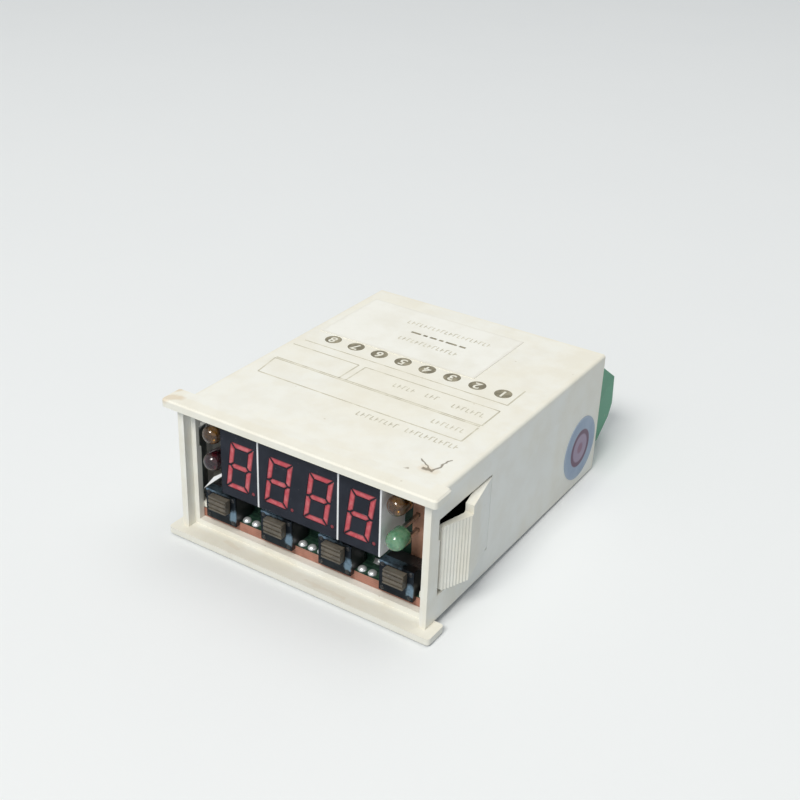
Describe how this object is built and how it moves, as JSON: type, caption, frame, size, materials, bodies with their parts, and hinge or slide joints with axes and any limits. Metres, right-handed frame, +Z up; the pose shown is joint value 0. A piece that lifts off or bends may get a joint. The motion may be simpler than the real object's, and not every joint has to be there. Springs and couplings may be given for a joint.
{
  "type": "digital panel meter",
  "caption": "Small snap-in digital panel meter without its front cover: ivory case with side latches, slanted digit displays, indicator LEDs, push switches and a rear terminal plug.",
  "frame": {"origin": "centre of the panel cut-out, in the plane of the rear face of the front lips", "axes": "+X to the right seen from the front, +Y to the rear, +Z up"},
  "size_m": [0.0486, 0.0677, 0.024],
  "materials": {
    "ivory_plastic": "fine satin moulding, a little yellowed and dirty",
    "phenolic_board": "brown paper laminate with a dark green mask on top",
    "solder": "bright solder",
    "tinned_wire": "tinned",
    "white_plastic": "white moulding",
    "display_face": "dark grey print on the face",
    "red_segment": "diffuse red resin",
    "amber_led": "tinted clear resin",
    "red_led": "dark red resin",
    "green_led": "diffuse green resin",
    "black_plastic": "black moulding",
    "cover_steel": "thin sheet",
    "brown_plastic": "ribbed brown-grey moulding",
    "leaf_steel": "spring sheet",
    "green_plastic": "green moulding",
    "plated_steel": "zinc plate",
    "ferrite": "dark sintered ferrite and varnished wire",
    "capacitor_sleeve": "shrunk sleeve",
    "white_paper": "blank paper sticker",
    "sticker_film": "printed film with a plain maroon ring"
  },
  "bodies": {
    "case": {"case": "ivory_plastic", "converter_chip": "black_plastic", "crystal": "cover_steel", "display_board": "phenolic_board", "display_body_left": "white_plastic", "display_body_middle": "white_plastic", "display_body_right": "white_plastic", "display_face_left": "display_face", "display_face_middle": "display_face", "display_face_right": "display_face", "display_pins": "tinned_wire", "header_pins": "tinned_wire", "large_capacitor": "capacitor_sleeve", "led_leads": "tinned_wire", "led_left_lower": "red_led", "led_left_upper": "amber_led", "led_right_lower": "green_led", "led_right_upper": "amber_led", "main_board": "phenolic_board", "processor": "black_plastic", "regulator": "black_plastic", "round_sticker": "sticker_film", "segments_left": "red_segment", "segments_middle": "red_segment", "segments_right": "red_segment", "small_capacitor": "capacitor_sleeve", "snap_leaves": "leaf_steel", "solder_joints": "solder", "supply_coil": "ferrite", "switch_body_1": "black_plastic", "switch_body_2": "black_plastic", "switch_body_3": "black_plastic", "switch_body_4": "black_plastic", "switch_cover_1": "cover_steel", "switch_cover_2": "cover_steel", "switch_cover_3": "cover_steel", "switch_cover_4": "cover_steel", "switch_legs": "tinned_wire", "terminal_header": "green_plastic", "top_sticker": "white_paper"},
    "button_1": {"button_1": "brown_plastic"},
    "button_2": {"button_2": "brown_plastic"},
    "button_3": {"button_3": "brown_plastic"},
    "button_4": {"button_4": "brown_plastic"},
    "left_latch": {"left_latch": "ivory_plastic"},
    "right_latch": {"right_latch": "ivory_plastic"},
    "plug": {"terminal_plug": "green_plastic", "terminal_screws": "plated_steel", "wire_clamps": "plated_steel"}
  },
  "joints": [
    {"name": "button_1_press", "type": "slide", "parent": "case", "child": "button_1", "axis": [0, 1, 0], "range_m": [0, 0.0003], "stiffness_N_per_m": 4000},
    {"name": "button_2_press", "type": "slide", "parent": "case", "child": "button_2", "axis": [0, 1, 0], "range_m": [0, 0.0003], "stiffness_N_per_m": 4000},
    {"name": "button_3_press", "type": "slide", "parent": "case", "child": "button_3", "axis": [0, 1, 0], "range_m": [0, 0.0003], "stiffness_N_per_m": 4000},
    {"name": "button_4_press", "type": "slide", "parent": "case", "child": "button_4", "axis": [0, 1, 0], "range_m": [0, 0.0003], "stiffness_N_per_m": 4000},
    {"name": "right_latch_bend", "type": "hinge", "parent": "case", "child": "right_latch", "pos_m": [0.0224, 0.0142, 0], "axis": [0, 0, -1], "range_deg": [0, 10], "stiffness_Nm_per_rad": 0.5},
    {"name": "left_latch_bend", "type": "hinge", "parent": "case", "child": "left_latch", "pos_m": [-0.0224, 0.0142, 0], "axis": [0, 0, 1], "range_deg": [0, 10], "stiffness_Nm_per_rad": 0.5},
    {"name": "plug_pull", "type": "slide", "parent": "case", "child": "plug", "axis": [0, 1, 0], "range_m": [0, 0.009]}
  ]
}
